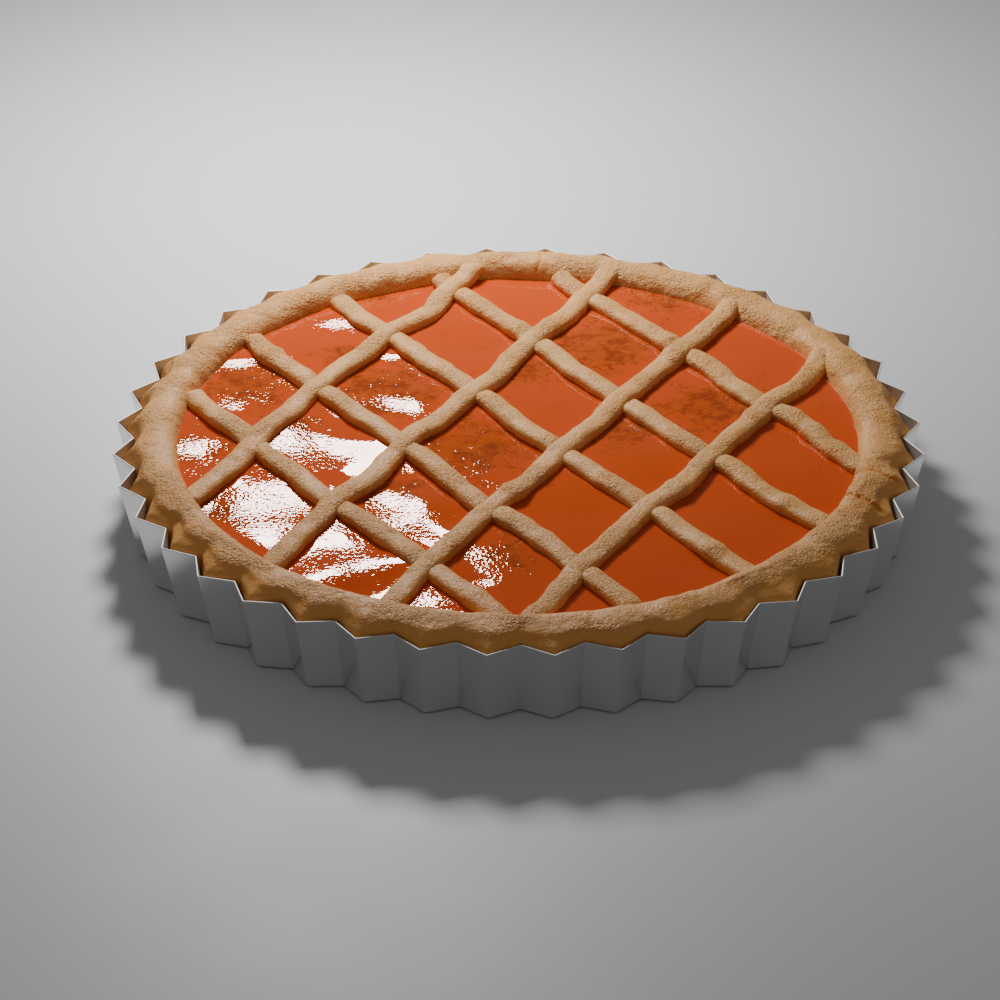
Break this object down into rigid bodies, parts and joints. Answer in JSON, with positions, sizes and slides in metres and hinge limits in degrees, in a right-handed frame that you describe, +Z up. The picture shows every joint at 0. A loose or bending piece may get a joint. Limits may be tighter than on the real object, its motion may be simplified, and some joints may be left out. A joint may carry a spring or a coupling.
{
  "type": "lattice jam tart in a fluted tin",
  "caption": "Round apricot jam tart with a thick rolled pastry rim and a hand-laid lattice of pastry strips, baked and served in its own fluted metal tin.",
  "frame": {"origin": "centre of the tin's flat underside, on the surface that the tart stands on", "axes": "+Z up out of the tart, -Y towards its front; +X to the right of the front"},
  "size_m": [0.2792, 0.2792, 0.0339],
  "materials": {
    "tin": "satin grey sheet",
    "pastry": "baked shortcrust, pale tan on top and browner at the sides, with an egg-washed sheen",
    "jam": "glossy set jam with a rippled surface"
  },
  "bodies": {
    "root": {"tart_tin": "tin", "pastry_shell": "pastry", "jam_filling": "jam", "lattice_top_1": "pastry", "lattice_top_2": "pastry", "lattice_top_3": "pastry", "lattice_top_4": "pastry", "lattice_under_1": "pastry", "lattice_under_2": "pastry", "lattice_under_3": "pastry", "lattice_under_4": "pastry", "lattice_under_5": "pastry"}
  },
  "joints": []
}
